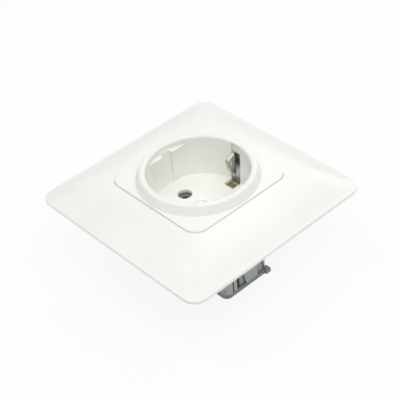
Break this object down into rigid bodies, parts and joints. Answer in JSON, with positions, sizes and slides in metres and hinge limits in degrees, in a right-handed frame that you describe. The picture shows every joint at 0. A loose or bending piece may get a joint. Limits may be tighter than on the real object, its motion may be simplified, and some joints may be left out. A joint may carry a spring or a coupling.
{
  "type": "type f wall socket",
  "caption": "Flush wall socket with a pillow-shaped square frame, a raised round plug recess with side earth clips, a steel mounting plate and a grey screwless base.",
  "frame": {"origin": "centre of the wall plane, between the four box screw slots, on the back of the mounting plate", "axes": "+Z points out of the wall into the room, X runs through the two pin holes and +Y is up, through the two earth clips"},
  "size_m": [0.09, 0.09, 0.0474],
  "materials": {
    "cover_plastic": "gloss",
    "base_plastic": "fine spark-eroded matt",
    "plate_steel": "zinc plated",
    "zinc_steel": "bright zinc plated",
    "strap_nickel": "nickel plated brass",
    "contact_brass": "nickel plated brass",
    "spring_steel": "stainless"
  },
  "bodies": {
    "root": {"cover_frame": "cover_plastic", "centre_plate": "cover_plastic", "screw_cap": "cover_plastic", "centre_screw": "zinc_steel", "screw_nut": "zinc_steel", "mounting_plate": "plate_steel", "contact_base": "base_plastic", "rear_cover": "base_plastic", "earth_strap": "strap_nickel", "earth_terminal": "contact_brass", "line_contact": "contact_brass", "neutral_contact": "contact_brass", "line_clamp_spring_upper": "spring_steel", "line_clamp_spring_lower": "spring_steel", "neutral_clamp_spring_upper": "spring_steel", "neutral_clamp_spring_lower": "spring_steel", "earth_clamp_spring_left": "spring_steel", "earth_clamp_spring_right": "spring_steel", "rivet_top_left": "zinc_steel", "rivet_top_right": "zinc_steel", "rivet_bottom_left": "zinc_steel", "rivet_bottom_right": "zinc_steel", "cover_screw_left": "zinc_steel", "cover_screw_right": "zinc_steel"}
  },
  "joints": []
}
